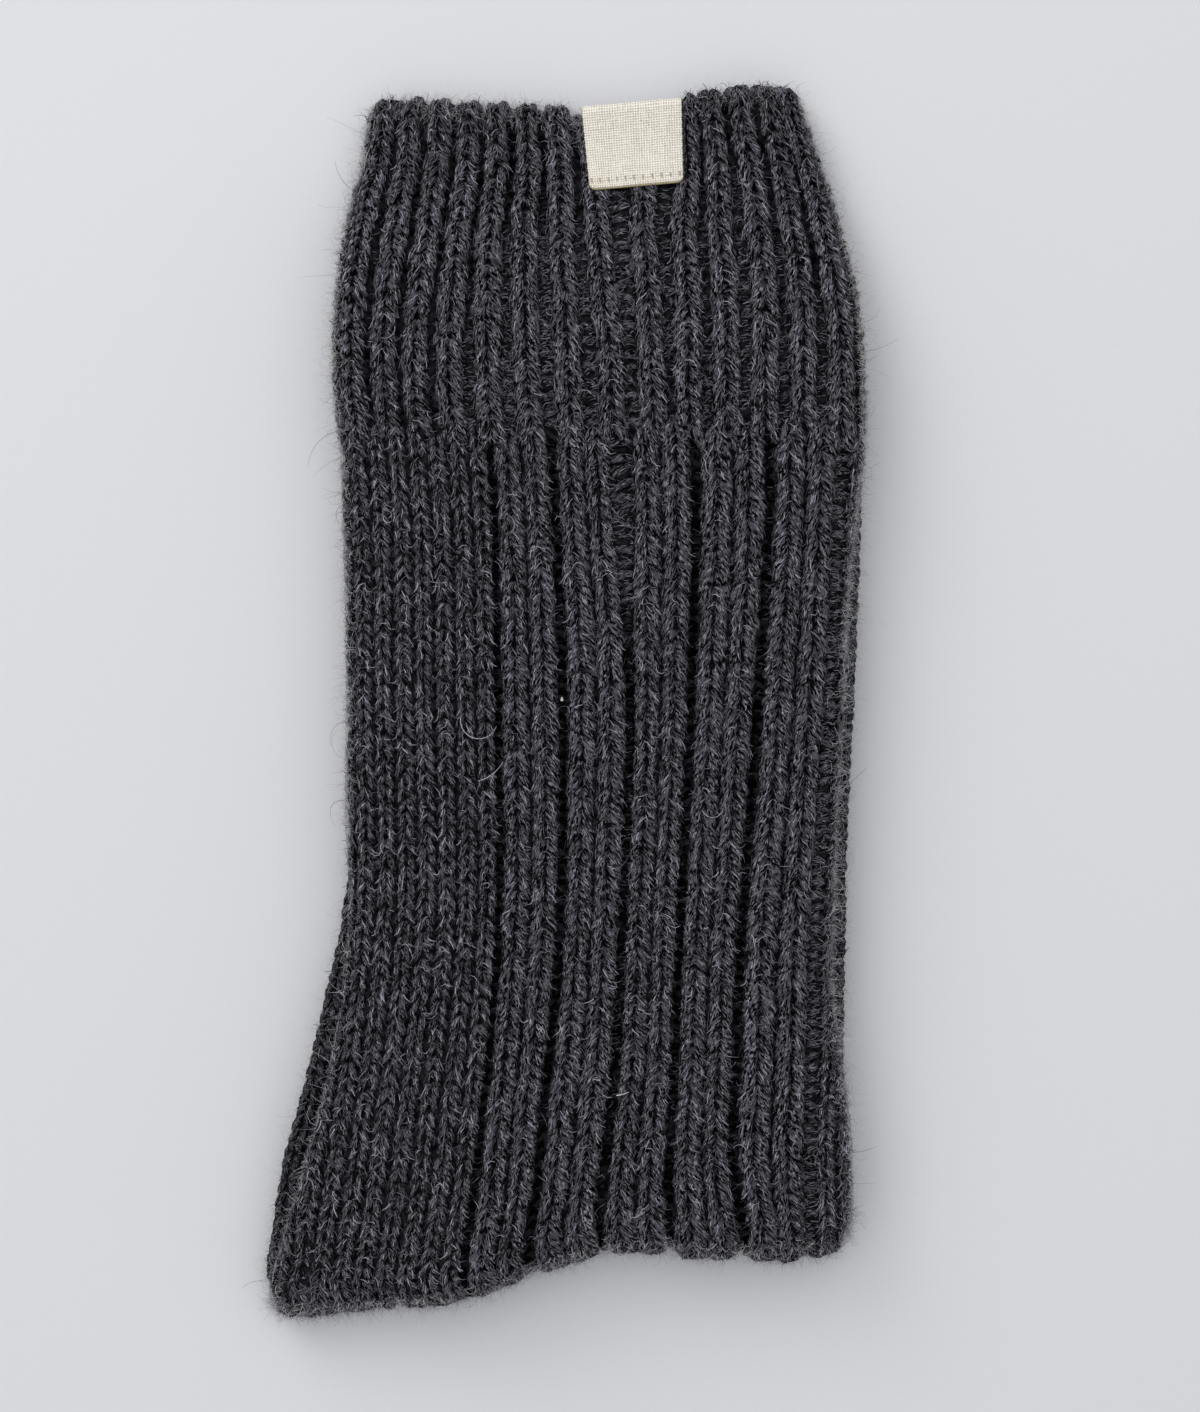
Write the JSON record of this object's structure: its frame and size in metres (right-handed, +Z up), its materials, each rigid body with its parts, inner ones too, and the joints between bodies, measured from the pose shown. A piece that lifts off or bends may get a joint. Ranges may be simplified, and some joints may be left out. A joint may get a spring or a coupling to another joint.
{
  "type": "folded pair of knitted socks",
  "caption": "Folded pair of thick ribbed knitted socks lying flat, ribbed cuff at the top, feet turned up behind the legs, small bare fabric label over the rim.",
  "frame": {"origin": "middle of the bounding box, on the surface that the pair lies on", "axes": "+X across the legs to the right as seen from above, +Y along the legs towards the cuffs, +Z up from the surface"},
  "size_m": [0.119, 0.2472, 0.02],
  "materials": {
    "knit": "soft brushed charcoal wool knit",
    "label_tape": "matte cream cotton twill"
  },
  "bodies": {
    "root": {"upper_sock": "knit", "lower_sock": "knit", "label": "label_tape"}
  },
  "joints": []
}
